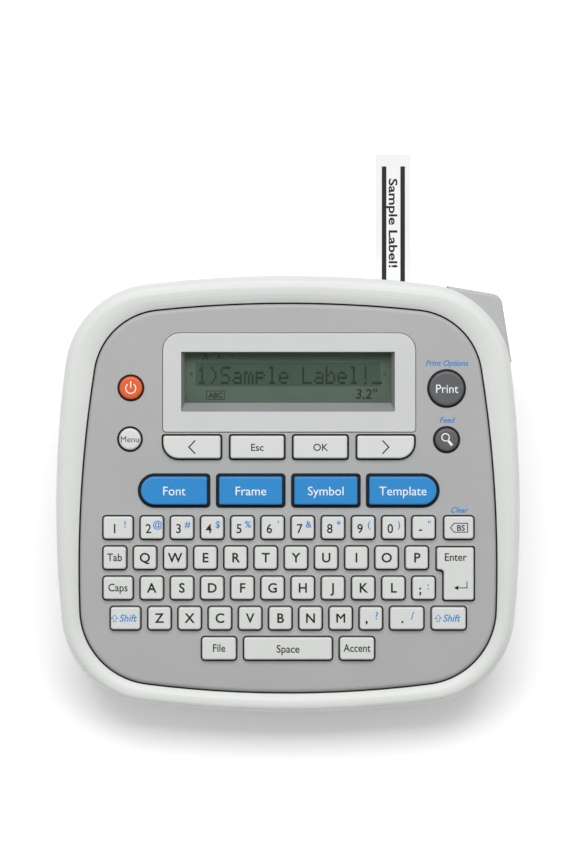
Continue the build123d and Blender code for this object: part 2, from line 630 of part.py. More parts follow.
def cassette_case():
    inner = offset(cassette_outline(), -CASSETTE_WALL, kind=Kind.INTERSECTION)
    body = side_slab(cassette_outline(), CASSETTE_LEFT, CASSETTE_RIGHT - CASSETTE_WALL)
    body -= side_slab(inner, CASSETTE_LEFT + CASSETTE_WALL, CASSETTE_RIGHT)
    body += rod_x(ROLL_V, ROLL_W, 5.0, CASSETTE_LEFT, CASSETTE_RIGHT - CASSETTE_WALL - 0.4)
    body += rod_x(RIBBON_V, RIBBON_W, SHAFT_R, CASSETTE_LEFT, CASSETTE_RIGHT - CASSETTE_WALL - 0.4)
    body -= rod_x(TAKEUP_V, TAKEUP_W, SHAFT_R + 0.4, CASSETTE_LEFT - 1, CASSETTE_LEFT + 2)
    half = TAPE_WIDTH / 2 + 0.4
    return body - block((TAPE_X - half, 45, TAPE_W - 0.6), (TAPE_X + half, 53, TAPE_W + 0.39))


def cassette_lid():
    return side_slab(cassette_outline(), CASSETTE_RIGHT - CASSETTE_WALL, CASSETTE_RIGHT)


def tape_strip(start, end):
    half, thin = TAPE_WIDTH / 2, TAPE_THICKNESS / 2
    return block((TAPE_X - half, start, TAPE_W - thin), (TAPE_X + half, end, TAPE_W + thin))


def print_head():
    return block((TAPE_X - 7, 52.8, TAPE_W + 0.2), (TAPE_X + 7, 59.6, -12.9))


def head_arm():
    """Pivoted plate with a finned heat sink over the head."""
    left, right = 26.5, 45.5
    arm = block((left, 45.5, -12.2), (right, 60.4, -11.0))
    arm += block((TAPE_X - 7.4, 52.4, -12.9), (TAPE_X + 7.4, 60.4, -9.4))
    arm += rod_x(HEAD_PIVOT_V, HEAD_PIVOT_W, HEAD_PIVOT_R + 0.6, left, right)
    arm += rod_x(HEAD_PIVOT_V, HEAD_PIVOT_W, HEAD_PIVOT_R, PLATE_LEFT, PLATE_RIGHT + PLATE_THICKNESS)
    for fin in range(5):
        x = TAPE_X - 5.6 + 2.8 * fin
        arm -= block((x - 0.7, 52, -10.6), (x + 0.7, 61, -9))
    return arm


def release_lever():
    left, right = RELEASE_X, RELEASE_X + RELEASE_THICKNESS
    points = [(RELEASE_V - 2.6, RELEASE_W + 3), (RELEASE_V + 2.6, RELEASE_W + 3),
              (RELEASE_V + 2, RELEASE_W - 14), (RELEASE_V - 2, RELEASE_W - 14)]
    body = side_slab(make_face(Polyline(*points, close=True)), left, right)
    return body - rod_x(RELEASE_V, RELEASE_W, SHAFT_R + CLEARANCE, left - 1, right + 1)


# ---- Cutter -------------------------------------------------------------------------------------
def lever_hub(radius):
    return rod_v(LEVER_PIVOT_X, LEVER_PIVOT_W, radius, ARM_FRONT_V, ARM_REAR_V)


def cutter_lever():
    """The finger pad at the rear right corner, with the arm that carries the moving blade."""
    pad = make_face(Polyline((54.2, 44.6), (54.2, 70.4), (72.4, 67.3), (76.0, 44.6), close=True))
    outer = [vertex for vertex in pad.vertices() if vertex.X > 60 and vertex.Y > 60]
    pad = fillet(outer, 4.0)
    body = slab(pad, PAD_BOTTOM_W, PAD_TOP_W)
    body = fillet(body.faces().sort_by(Axis.Z)[-1].edges(), 1.0)
    body += block((27.5, ARM_FRONT_V, PAD_BOTTOM_W), (55, ARM_REAR_V, -19.5))
    body += lever_hub(2.9)
    return body - lever_hub(LEVER_PIVOT_R + CLEARANCE)


def lever_pin():
    return rod_v(LEVER_PIVOT_X, LEVER_PIVOT_W, LEVER_PIVOT_R, LEVER_PIN_FRONT_V, LEVER_PIN_REAR_V)


def moving_blade():
    return block((TAPE_X - 7.5, ARM_REAR_V, -23.5), (TAPE_X + 7.5, ARM_REAR_V + 0.6, TAPE_W - 0.8))


def fixed_blade():
    return block((TAPE_X - 9, 66.9, TAPE_W + 0.4), (TAPE_X + 9, 67.5, TAPE_W + 5))


def lever_spring():
    """Return spring between the case floor's post and the lever arm."""
    turns, pitch, radius, wire = 6, 1.5, 2.2, 0.35
    path = Helix(pitch, turns * pitch, radius)
    profile = Plane(origin=path @ 0, z_dir=path % 0) * Circle(wire)
    return Pos(45.5, 64.3, PAD_BOTTOM_W - turns * pitch - 3.2) * sweep(profile, path)


# ---- Power --------------------------------------------------------------------------------------
def batteries():
    cells = Part()
    for index in range(CELL_COUNT):
        x = CELL_FIRST_X + CELL_PITCH * index
        turn = Rot(-90, 0, 0) if index % 2 == 0 else Rot(90, 0, 0)
        body = Cylinder(CELL_R, CELL_LENGTH - 1.2) + Pos(0, 0, CELL_LENGTH / 2) * Cylinder(1.9, 1.2)
        cells += Pos(x, CELL_START_Y + CELL_LENGTH / 2, CELL_Z) * turn * Pos(0, 0, -0.3) * body
    return cells


def battery_contacts():
    """Sprung plates at both ends of the cells, joined in pairs."""
    plates = Part()
    for end_y in (CELL_START_Y - 1.5, CELL_START_Y + CELL_LENGTH + 1.0):
        for index in range(CELL_COUNT // 2):
            x = CELL_FIRST_X + 2 * CELL_PITCH * index
            plates += block((x - 3.5, end_y, CELL_Z - 3.5), (x + CELL_PITCH + 3.5, end_y + 0.5, CELL_Z + 3.5))
    return plates


def power_jack():
    """Inlet for a power adapter in the right side wall, drawn in the face frame."""
    half = JACK_SIZE / 2
    back = JACK_RIGHT - JACK_DEPTH
    body = block((back, JACK_V - half, JACK_W - half), (JACK_RIGHT, JACK_V + half, JACK_W + half))
    body -= rod_x(JACK_V, JACK_W, JACK_BORE_R, back + 2, JACK_RIGHT + 1)
    return body + rod_x(JACK_V, JACK_W, 0.8, back, JACK_RIGHT - 0.3)


def rubber_feet():
    return Part() + [Pos(x, y, FLOOR_Z / 2) * Cylinder(FOOT_R, FLOOR_Z) for x, y in FEET]


def case_screws():
    screws = Part()
    for x, v in BOSSES:
        screws += rod_w(x, v, SCREW_R, PARTING_W - 7, PARTING_W + 7)
        screws += rod_w(x, v, SCREW_R + 1.1, PARTING_W - PARTING_GAP - 10, PARTING_W - PARTING_GAP - 8.02)
    return screws


# ---- Write every piece --------------------------------------------------------------------------
face_pieces = {
    "top_case": top_case, "base_case": base_case, "face_panel": face_panel, "display_bezel": display_bezel,
    "lcd_frame": lcd_frame, "lcd_ribbon": lcd_ribbon, "keypad_mat": keypad_mat, "main_board": main_board,
    "board_chips": board_chips, "mechanism_frame": mechanism_frame, "platen_core": platen_core,
    "platen_rubber": platen_rubber, "idler_gear": idler_gear, "feed_motor": feed_motor,
    "motor_pinion": motor_pinion, "takeup_gear": takeup_gear, "tape_roll": tape_roll,
    "cassette_case": cassette_case, "cassette_lid": cassette_lid, "print_head": print_head,
    "head_arm": head_arm, "release_lever": release_lever, "cutter_lever": cutter_lever,
    "lever_pin": lever_pin, "moving_blade": moving_blade, "fixed_blade": fixed_blade,
    "lever_spring": lever_spring, "power_jack": power_jack, "case_screws": case_screws,
}
for name, make in face_pieces.items():
    save(name, make())

save("display_window", display_sheet(WINDOW_MARGIN, BEZEL_BOTTOM_W - WINDOW_THICKNESS, BEZEL_BOTTOM_W))
save("lcd_glass", display_sheet(LCD_MARGIN, LCD_LOW_W, LCD_HIGH_W))
platen_phase = mesh_phase(PLATEN_TEETH, PLATEN_V, PLATEN_W)
save("platen_gear", gear(PLATEN_TEETH, PLATEN_V, PLATEN_W, SHAFT_R, platen_phase))
save("ribbon_spool", spool(RIBBON_V, RIBBON_W, RIBBON_R, SHAFT_R + CLEARANCE))
save("takeup_spool", spool(TAKEUP_V, TAKEUP_W, 5.0, SHAFT_R))
save("inner_tape", tape_strip(ROLL_V, TAPE_END_V))
save("printed_label", tape_strip(LABEL_START_V, LABEL_END_V))

for index, (name, keys) in enumerate(key_places().items()):
    save(name, Part() + [plain_key(x, row_v(index), width) for x, width in keys])
save("space_key", plain_key(0, row_v(SPACE_ROW), SPACE_WIDTH))
save("enter_key", cap(enter_outline(), enter_outline(FLANGE_REACH), ENTER_STEM_X, row_v(ENTER_STEM_ROW)))
for name, (left, right) in NAV_KEYS.items():
    save(name, cap(nav_outline(name), nav_outline(name, NAV_FLANGE_REACH), (left + right) / 2, NAV_V))
for name, (left, right) in FUNCTION_KEYS.items():
    flange = function_outline(name, FUNCTION_FLANGE_REACH)
    save(name, cap(function_outline(name), flange, (left + right) / 2, FUNCTION_V))
for name in ROUND_BUTTONS:
    save(name, round_button(name))

desk_frame = Pos(0, 0, 0)
save("rear_cover", rear_cover(), desk_frame)
save("batteries", batteries(), desk_frame)
save("battery_contacts", battery_contacts(), desk_frame)
save("rubber_feet", rubber_feet(), desk_frame)
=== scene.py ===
import json
import math

import bpy
import numpy as np
from mathutils import Matrix, Vector


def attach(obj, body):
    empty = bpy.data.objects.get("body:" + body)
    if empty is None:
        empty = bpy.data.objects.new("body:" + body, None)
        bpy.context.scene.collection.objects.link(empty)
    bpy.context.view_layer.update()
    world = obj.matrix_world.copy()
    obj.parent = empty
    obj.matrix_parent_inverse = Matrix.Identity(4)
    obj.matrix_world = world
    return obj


# Looks of the desktop label maker: materials for every CAD piece, the legends on keys and panel, the
# display's picture, painted shadow in the gaps round the keys and in the groove round the panel, painted
# shade on the display window's walls, the print on the label, the floor, lights and camera.
# Legends are laid out in millimetres in the face frame, which is the sloping top face: x to the right,
# v up the slope, w out of the face.
MM = 0.001
FACE_TILT = math.radians(18.0)
FACE_ORIGIN = (0, -0.0046, 0.0449)              # middle of the sloping face, in metres
FACE = Matrix.Translation(FACE_ORIGIN) @ Matrix.Rotation(FACE_TILT, 4, "X")
INK_LIFT = 0.012            # legends stand this far above the plastic, in mm
INK_DEPTH = 0.008

# Places that match the CAD pieces, in mm. Each kind of key has a gap round it, and a hidden flange at
# its foot that reaches further.
KEY_GAP, KEY_FLANGE_REACH = 0.35, 0.65
NAV_GAP, NAV_FLANGE_REACH = 0.45, 0.85
FUNCTION_GAP, FUNCTION_FLANGE_REACH = 0.9, 1.25
BUTTON_GAP, BUTTON_FLANGE_REACH = 0.55, 0.9
KEY_CORNER_R, BAR_CORNER_R, ENTER_CORNER_R = 1.1, 0.9, 0.9
NAV_CORNER_R, FUNCTION_CORNER_R = 5.4, 4.9      # the round outer ends of the two bars of keys
ENTER_STEP, ENTER_TOP_HEIGHT = 2.3, 7.9         # where the enter key's lower part starts: inwards, and down
KEYS_APART = 0.3                                # faces further apart than this belong to different keys
WINDOW_HALF, WINDOW_LOW, WINDOW_HIGH = 36.1, 27.7, 47.9     # the bezel's opening at its face
PANEL_GAP = 0.3             # width of the groove round the panel
GROOVE_INSIDE = 0.25        # how far the painted shadow in the groove reaches under the panel
GROOVE_LEVEL = -0.75        # depth of the painted shadow in the groove round the panel
GAP_LEVEL = -0.35           # depth of the painted shadow in the gaps round the keys
GAP_OVERLAP = 0.05          # how far the painted shadow in a gap reaches under the key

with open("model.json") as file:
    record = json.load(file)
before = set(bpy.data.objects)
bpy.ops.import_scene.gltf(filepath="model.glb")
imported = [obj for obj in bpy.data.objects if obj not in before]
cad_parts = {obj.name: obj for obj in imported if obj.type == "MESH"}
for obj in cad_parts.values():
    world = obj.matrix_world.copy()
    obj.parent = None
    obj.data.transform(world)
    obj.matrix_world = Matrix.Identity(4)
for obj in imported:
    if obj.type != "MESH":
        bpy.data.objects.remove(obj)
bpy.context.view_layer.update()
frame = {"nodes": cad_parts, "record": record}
nodes = frame["nodes"]


# ---- Materials ----------------------------------------------------------------------------------
def new_material(name):
    """A material with an empty principled shader, and its node tree and shader."""
    material = bpy.data.materials.new(name)
    material.use_nodes = True
    tree = material.node_tree
    tree.nodes.clear()
    output = tree.nodes.new("ShaderNodeOutputMaterial")
    shader = tree.nodes.new("ShaderNodeBsdfPrincipled")
    tree.links.new(shader.outputs["BSDF"], output.inputs["Surface"])
    return material, tree, shader


def noise(tree, scale, detail=3.0, stretch=(1, 1, 1)):
    """3-D noise in object space, stretched along chosen axes."""
    where = tree.nodes.new("ShaderNodeTexCoord")
    mapping = tree.nodes.new("ShaderNodeMapping")
    mapping.inputs["Scale"].default_value = stretch
    texture = tree.nodes.new("ShaderNodeTexNoise")
    texture.inputs["Scale"].default_value = scale
    texture.inputs["Detail"].default_value = detail
    tree.links.new(where.outputs["Object"], mapping.inputs["Vector"])
    tree.links.new(mapping.outputs["Vector"], texture.inputs["Vector"])
    return texture.outputs["Fac"]


NOISE_LOW, NOISE_HIGH = 0.3, 0.7        # most of a noise texture's values lie between these
CLOUD_SCALE = 45                        # of a material's soft, wide variation, per metre
UNEVEN_GLOSS = 0.05                     # how much a material's roughness varies either way


def spread(tree, value, low, high):
    """Maps a texture's middle range to low..high."""
    node = tree.nodes.new("ShaderNodeMapRange")
    node.inputs["From Min"].default_value = NOISE_LOW
    node.inputs["From Max"].default_value = NOISE_HIGH
    node.inputs["To Min"].default_value = low
    node.inputs["To Max"].default_value = high
    tree.links.new(value, node.inputs["Value"])
    return node.outputs["Result"]


def tint(tree, value, colour, change):
    """The colour, a little darker and lighter with the texture."""
    ramp = tree.nodes.new("ShaderNodeValToRGB")
    dark, light = ramp.color_ramp.elements
    dark.position, light.position = NOISE_LOW, NOISE_HIGH
    dark.color = [part * (1 - change) for part in colour] + [1]
    light.color = [min(1, part * (1 + change)) for part in colour] + [1]
    tree.links.new(value, ramp.inputs["Fac"])
    return ramp.outputs["Color"]


def bump(tree, value, depth):
    """A surface normal from the texture as a relief, depth in mm."""
    node = tree.nodes.new("ShaderNodeBump")
    node.inputs["Strength"].default_value = 1.0
    node.inputs["Distance"].default_value = depth * MM
    tree.links.new(value, node.inputs["Height"])
    return node.outputs["Normal"]


def plastic(name, colour, roughness, grain, depth, change, metallic=0.0, specular=0.5, stretch=(1, 1, 1),
            coat=0.0):
    """A moulded surface: cloudy tint, uneven gloss and a fine grain of that many grains per metre."""
    material, tree, shader = new_material(name)
    cloud = noise(tree, CLOUD_SCALE)
    fine = noise(tree, grain, 2.0, stretch)
    tree.links.new(tint(tree, cloud, colour, change), shader.inputs["Base Color"])
    gloss = spread(tree, fine, roughness - UNEVEN_GLOSS, roughness + UNEVEN_GLOSS)
    tree.links.new(gloss, shader.inputs["Roughness"])
    tree.links.new(bump(tree, fine, depth), shader.inputs["Normal"])
    shader.inputs["Metallic"].default_value = metallic
    shader.inputs["Specular IOR Level"].default_value = specular
    shader.inputs["Coat Weight"].default_value = coat
    return material


def clear_window():
    """Thin clear plastic, with fine unevenness."""
    material, tree, shader = new_material("window_clear")
    fine = noise(tree, 300)
    tree.links.new(spread(tree, fine, 0.02, 0.05), shader.inputs["Roughness"])
    tree.links.new(tint(tree, fine, (0.93, 0.96, 0.94), 0.01), shader.inputs["Base Color"])
    tree.links.new(bump(tree, fine, 0.002), shader.inputs["Normal"])
    shader.inputs["Transmission Weight"].default_value = 1.0
    shader.inputs["IOR"].default_value = 1.25
    return material


def ink(name, colour):
    """Thin matt print."""
    return plastic(name, colour, 0.55, 4000, 0.001, 0.05, specular=0.3)


def steel(name, colour, roughness, grain, depth, change):
    """Bare metal with its grain rolled out along x."""
    return plastic(name, colour, roughness, grain, depth, change, metallic=1.0, stretch=(0.08, 1, 1))


# Each material has its colour, roughness, grains per metre, grain depth in mm and change of tint.
MATERIALS = {
    "shell_white": plastic("shell_white", (0.715, 0.73, 0.712), 0.42, 2400, 0.004, 0.012),
    "panel_grey": plastic("panel_grey", (0.425, 0.43, 0.425), 0.55, 3000, 0.010, 0.02, specular=0.35),
    "bezel_grey": plastic("bezel_grey", (0.62, 0.63, 0.625), 0.38, 2600, 0.003, 0.012),
    "key_white": plastic("key_white", (0.70, 0.715, 0.695), 0.40, 3200, 0.003, 0.01),
    "key_blue": plastic("key_blue", (0.022, 0.255, 0.62), 0.35, 3200, 0.003, 0.02),
    "key_orange": plastic("key_orange", (0.79, 0.12, 0.02), 0.32, 3200, 0.003, 0.03),
    "key_dark": plastic("key_dark", (0.105, 0.108, 0.115), 0.40, 3200, 0.004, 0.04),
    "window_clear": clear_window(),
    "lcd_green": plastic("lcd_green", (0.125, 0.175, 0.13), 0.35, 900, 0.001, 0.05),
    "black_plastic": plastic("black_plastic", (0.02, 0.02, 0.02), 0.5, 2600, 0.004, 0.2),
    "mat_rubber": plastic("mat_rubber", (0.03, 0.03, 0.032), 0.75, 1800, 0.008, 0.15, specular=0.2),
    "foot_rubber": plastic("foot_rubber", (0.035, 0.035, 0.037), 0.8, 1500, 0.02, 0.2, specular=0.25),
    "roller_rubber": plastic("roller_rubber", (0.025, 0.025, 0.025), 0.7, 1800, 0.006, 0.15, specular=0.3),
    "board_green": plastic("board_green", (0.02, 0.16, 0.06), 0.35, 900, 0.01, 0.15, coat=0.4),
    "frame_steel": steel("frame_steel", (0.56, 0.56, 0.57), 0.35, 900, 0.004, 0.04),
    "blade_steel": steel("blade_steel", (0.7, 0.7, 0.72), 0.22, 1200, 0.002, 0.03),
    "spring_steel": plastic("spring_steel", (0.5, 0.5, 0.52), 0.3, 900, 0.002, 0.04, metallic=1.0),
    "sink_aluminium": steel("sink_aluminium", (0.78, 0.79, 0.8), 0.4, 1000, 0.004, 0.03),
    "gear_nylon": plastic("gear_nylon", (0.78, 0.76, 0.68), 0.5, 1500, 0.004, 0.03),
    "cassette_plastic": plastic("cassette_plastic", (0.08, 0.08, 0.085), 0.5, 2000, 0.008, 0.08),
    "tape_film": plastic("tape_film", (0.86, 0.865, 0.86), 0.35, 120, 0.0005, 0.01),
    "lever_grey": plastic("lever_grey", (0.46, 0.47, 0.465), 0.45, 2400, 0.006, 0.015),
    "contact_metal": plastic("contact_metal", (0.72, 0.71, 0.68), 0.25, 900, 0.002, 0.04, metallic=1.0),
    "cell_wrap": plastic("cell_wrap", (0.05, 0.06, 0.09), 0.3, 300, 0.004, 0.1, coat=0.5),
}
for part in frame["record"]["subparts"]:
    mesh = nodes[part["node"]].data
    mesh.materials.clear()
    mesh.materials.append(MATERIALS[part["material_slot"]])

# Colours of print and of painted shade in the key gaps, the panel's groove and the display window's walls,
# each with a material slot of the record.
INKS = {
    "black": (ink("ink_black", (0.012, 0.012, 0.013)), "black_plastic"),
    "blue": (ink("ink_blue", (0.018, 0.24, 0.60)), "key_blue"),
    "white": (ink("ink_white", (0.88, 0.89, 0.88)), "key_white"),
    "lcd": (ink("ink_lcd", (0.016, 0.026, 0.018)), "black_plastic"),
    "faint": (ink("ink_lcd_faint", (0.06, 0.09, 0.065)), "lcd_green"),
    "field": (ink("ink_lcd_field", (0.075, 0.12, 0.085)), "lcd_green"),
    # darker grey for the painted shade on the display window's sloping walls
    "shade": (ink("ink_bevel_shade", (0.27, 0.28, 0.275)), "bezel_grey"),
    # black for the painted shadow in the gaps round the keys and in the groove round the panel
    "gap": (ink("ink_gap_shadow", (0.008, 0.008, 0.008)), "black_plastic"),
}


# ---- Reading places from the CAD pieces ---------------------------------------------------------
TO_FACE = FACE.inverted()


def face_points(node):
    """A node's vertices in the face frame, in millimetres."""
    points = [TO_FACE @ vertex.co for vertex in nodes[node].data.vertices]
    return np.array(points) / MM


def face_box(node):
    """A node's lowest and highest corners in the face frame, in millimetres."""
    points = face_points(node)
    return points.min(axis=0), points.max(axis=0)


def face_middle(node):
    """The (x, v) of a node's middle."""
    low, high = face_box(node)
    return (low[0] + high[0]) / 2, (low[1] + high[1]) / 2


def key_spans(node):
    """Left and right edge of each key in a row, without its flange, from the faces' overlapping extents."""
    xs = face_points(node)[:, 0]
    spans = sorted((xs[list(face.vertices)].min(), xs[list(face.vertices)].max())
                   for face in nodes[node].data.polygons)
    merged = [list(spans[0])]
    for left, right in spans[1:]:
        if left > merged[-1][1] + KEYS_APART:
            merged.append([left, right])
        merged[-1][1] = max(merged[-1][1], right)
    return [(left + KEY_FLANGE_REACH, right - KEY_FLANGE_REACH) for left, right in merged]


# ---- Flat printing ------------------------------------------------------------------------------
CAP_HEIGHT = 0.73           # capital height of the built-in font, per unit of size


def box_corners(left, right, low, high):
    """The four (x, v) corners of a rectangle, counter-clockwise."""
    return [(left, low), (right, low), (right, high), (left, high)]


class Print:
    """Collects flat shapes in one colour on one surface and makes them a single piece."""

    def __init__(self, name, colour, body, level):
        self.name, self.colour, self.body = name, colour, body
        self.place = FACE @ Matrix.Scale(MM, 4)
        self.level = level + INK_LIFT
        self.vertices, self.faces = [], []

    def add(self, points, faces):
        """Points in the face frame, and faces as lists of their places."""
        start = len(self.vertices)
        self.vertices += [self.place @ Vector(point) for point in points]
        self.faces += [[start + index for index in face] for face in faces]

    def solid(self, outline):
        """A thin plate with the given outline, a list of (x, v)."""
        count = len(outline)
        points = [(x, v, w) for w in (self.level, self.level - INK_DEPTH) for x, v in outline]
        sides = [(i, i + count, (i + 1) % count + count, (i + 1) % count) for i in range(count)]
        self.add(points, [list(range(count)), list(range(2 * count - 1, count - 1, -1))] + sides)

    def bar(self, start, end, width):
        """A straight stroke."""
        along = Vector((end[0] - start[0], end[1] - start[1])).normalized() * width / 2
        side = Vector((-along.y, along.x))
        a, b = Vector(start) - along, Vector(end) + along
        self.solid([tuple(point) for point in (a + side, a - side, b - side, b + side)])

    def box(self, left, right, low, high):
        self.solid(box_corners(left, right, low, high))

    def path(self, points, width, closed=False):
        """A bent stroke, one bar for each side."""
        ends = points[1:] + points[:1] if closed else points[1:]
        for start, end in zip(points, ends):
            self.bar(start, end, width)

    def ring(self, x, v, radius, width, start=0, end=360, steps=28):
        """An arc or a whole ring, as a chain of short plates. Angles are in degrees."""
        angles = [math.radians(start + (end - start) * i / steps) for i in range(steps + 1)]
        inner, outer = ([(x + r * math.cos(a), v + r * math.sin(a)) for a in angles]
                        for r in (radius - width / 2, radius + width / 2))
        for i in range(steps):
            self.solid([inner[i], outer[i], outer[i + 1], inner[i + 1]])

    def text(self, words, x, v, cap, bold=0.0, shear=0.0, squeeze=1.0, turn=0.0, align="CENTER"):
        """Words centred on (x, v), with capitals of height cap."""
        curve = bpy.data.curves.new("words", "FONT")
        curve.body = words
        curve.align_x = align
        curve.size = cap / CAP_HEIGHT
        curve.offset = bold
        curve.shear = shear
        curve.extrude = INK_DEPTH / 2
        curve.resolution_u = 4
        letters = bpy.data.objects.new("words", curve)
        bpy.context.scene.collection.objects.link(letters)
        bpy.context.view_layer.update()
        mesh = bpy.data.meshes.new_from_object(letters.evaluated_get(bpy.context.evaluated_depsgraph_get()))
        move = Matrix.Translation((x, v, self.level - INK_DEPTH / 2)) @ Matrix.Rotation(turn, 4, "Z")
        move = move @ Matrix.Diagonal((squeeze, 1, 1, 1)) @ Matrix.Translation((0, -cap / 2, 0))
        faces = [list(face.vertices) for face in mesh.polygons]
        self.add([move @ vertex.co for vertex in mesh.vertices], faces)
        bpy.data.objects.remove(letters)
        bpy.data.curves.remove(curve)
        bpy.data.meshes.remove(mesh)

    def finish(self):
        """Makes the piece, which rides on its body."""
        mesh = bpy.data.meshes.new(self.name)
        mesh.from_pydata([tuple(vertex) for vertex in self.vertices], [], self.faces)
        mesh.update()
        piece = bpy.data.objects.new(self.name, mesh)
        bpy.context.scene.collection.objects.link(piece)
        material, slot = INKS[self.colour]
        mesh.materials.append(material)
        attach(piece, self.body)


def key_print(node, colour):
    """Print on top of a key, whose body has the node's name."""
    return Print(f"print_{node}_{colour}", colour, node, face_box(node)[1][2])


# ---- Legends ------------------------------------------------------------------------------------
# Heights of capitals, and how much strokes are thickened, in mm.
LETTER_CAP, DIGIT_CAP, WORD_CAP, SHIFTED_CAP = 3.3, 3.2, 2.7, 2.3
SHIFT_CAP, MARK_CAP, SMALL_CAP, PANEL_CAP = 2.5, 2.6, 2.0, 1.9
BLUE_KEY_CAP, PRINT_CAP, NAV_CAP, MENU_CAP = 3.1, 3.0, 2.5, 2.1
LETTER_BOLD, COMMA_BOLD, SEMICOLON_BOLD, SIGN_BOLD = 0.085, 0.1, 0.08, 0.05
SHIFT_BOLD, WORD_BOLD, NAV_BOLD = 0.045, 0.04, 0.03
SHIFT_SHEAR, PANEL_SHEAR = 0.25, 0.3
DIGIT_SQUEEZE, SHIFT_SQUEEZE, EDGE_WORD_SQUEEZE = 0.95, 0.95, 0.9
SHORTCUT_SQUEEZE, WORD_SQUEEZE, PRINT_SQUEEZE = 0.86, 0.93, 0.97
DOUBLE_STRIKE = 0.07

# Where signs stand from the middle of their key: to the right and up.
LETTER_RISE, WORD_RISE = 0.2, 0.3
BUTTON_WORD_RISE, KEY_WORD_RISE = 1.7, 1.4          # panel words, above a button's or a key's flange
DIGIT_AT, SHIFTED_AT, WIDE_SHIFTED_AT = (-1.1, -0.2), (1.9, 1.2), (2.4, 1.2)
COMMA_AT, QUESTION_AT = (-1.5, 0.2), (1.9, 1.0)
SEMICOLON_AT, COLON_AT = (-1.2, -0.3), (1.5, 0.9)
SHIFT_LEGEND_HALF, SHIFT_WORD_START = 3.6, 1.5      # arrow and word together, and where the word starts
WIDE_KEY = 9                                        # a key wider than this is a wide one
FINE_LINE, SYMBOL_LINE, ARROW_LINE, HANDLE_LINE = 0.3, 0.36, 0.42, 0.8


def span_middle(span):
    left, right = span
    return (left + right) / 2


def backspace_tag(black, x, v):
    """A tag that points left, with two letters in it."""
    tip, shoulder, end, half = x - 2.9, x - 1.6, x + 2.9, 1.5
    outline = [(tip, v), (shoulder, v + half), (end, v + half), (end, v - half), (shoulder, v - half)]
    black.path(outline, FINE_LINE, closed=True)
    black.text("BS", x + 0.6, v, SMALL_CAP, SIGN_BOLD)


def number_row():
    """A digit and a smaller shifted sign on each key but the last, which has the backspace tag."""
    node = "number_keys"
    black, blue = key_print(node, "black"), key_print(node, "blue")
    v = face_middle(node)[1]
    spans = key_spans(node)
    for (left, right), digit, shifted in zip(spans, "1234567890-", "!@#$%'&*()\""):
        x = span_middle((left, right))
        side, up = WIDE_SHIFTED_AT if right - left > WIDE_KEY else SHIFTED_AT
        black.text(digit, x + DIGIT_AT[0], v + DIGIT_AT[1], DIGIT_CAP, SIGN_BOLD, squeeze=DIGIT_SQUEEZE)
        blue.text(shifted, x + side, v + up, SHIFTED_CAP, SIGN_BOLD)
    backspace_tag(black, span_middle(spans[-1]), v)
    black.finish()
    blue.finish()


def letter_row(node, first, letters):
    """One letter on each key from the second, and a word on the first if one is given."""
    black = key_print(node, "black")
    v = face_middle(node)[1]
    spans = key_spans(node)
    if first:
        black.text(first, span_middle(spans[0]), v + WORD_RISE, WORD_CAP, WORD_BOLD,
                   squeeze=EDGE_WORD_SQUEEZE)
    for span, letter in zip(spans[1:], letters):
        x = span_middle(span)
        if letter == "M":   # its narrow corners can't be thickened, so it is struck twice
            black.text(letter, x - DOUBLE_STRIKE, v + LETTER_RISE, LETTER_CAP)
            black.text(letter, x + DOUBLE_STRIKE, v + LETTER_RISE, LETTER_CAP)
        else:
            black.text(letter, x, v + LETTER_RISE, LETTER_CAP, LETTER_BOLD)
    return black, spans, v


def upper_row():
    black, _, _ = letter_row("upper_letter_keys", "Tab", "QWERTYUIOP")
    black.finish()


def home_row():
    """Letters, and a key with two signs at the right."""
    node = "home_letter_keys"
    black, spans, v = letter_row(node, "Caps", "ASDFGHJKL")
    blue = key_print(node, "blue")
    x = span_middle(spans[-1])
    black.text(";", x + SEMICOLON_AT[0], v + SEMICOLON_AT[1], LETTER_CAP, SEMICOLON_BOLD)
    blue.text(":", x + COLON_AT[0], v + COLON_AT[1], MARK_CAP, SIGN_BOLD)
    black.finish()
    blue.finish()


def shift_arrow(blue, x, v):
    """The outline of an arrow that points up, with its head's foot at height v."""
    half_stem, half_head, stem, head = 0.45, 1.1, 1.1, 1.15
    outline = [(x - half_stem, v - stem), (x - half_stem, v), (x - half_head, v), (x, v + head),
               (x + half_head, v), (x + half_stem, v), (x + half_stem, v - stem)]
    blue.path(outline, 0.2, closed=True)


def lower_row():
    """Letters, two keys with two signs each, and a shift key at both ends."""
    node = "lower_letter_keys"
    black, spans, v = letter_row(node, None, "ZXCVBNM")
    blue = key_print(node, "blue")
    for span in (spans[0], spans[-1]):
        start = span_middle(span) - SHIFT_LEGEND_HALF
        shift_arrow(blue, start, v)
        blue.text("Shift", start + SHIFT_WORD_START, v + LETTER_RISE, SHIFT_CAP, SHIFT_BOLD, SHIFT_SHEAR,
                  SHIFT_SQUEEZE, align="LEFT")
    sign_keys = spans[-3:-1]
    for span, plain, shifted in zip(sign_keys, ",.", "?/"):
        x = span_middle(span)
        black.text(plain, x + COMMA_AT[0], v + COMMA_AT[1], LETTER_CAP, COMMA_BOLD)
        blue.text(shifted, x + QUESTION_AT[0], v + QUESTION_AT[1], MARK_CAP, SIGN_BOLD)
    black.finish()
    blue.finish()


def shortcut_row():
    """A word on each of the two keys beside the space key."""
    node = "shortcut_keys"
    printed = key_print(node, "black")
    v = face_middle(node)[1]
    for span, words in zip(key_spans(node), ("File", "Accent")):
        printed.text(words, span_middle(span), v + WORD_RISE, WORD_CAP, WORD_BOLD, squeeze=SHORTCUT_SQUEEZE)
    printed.finish()


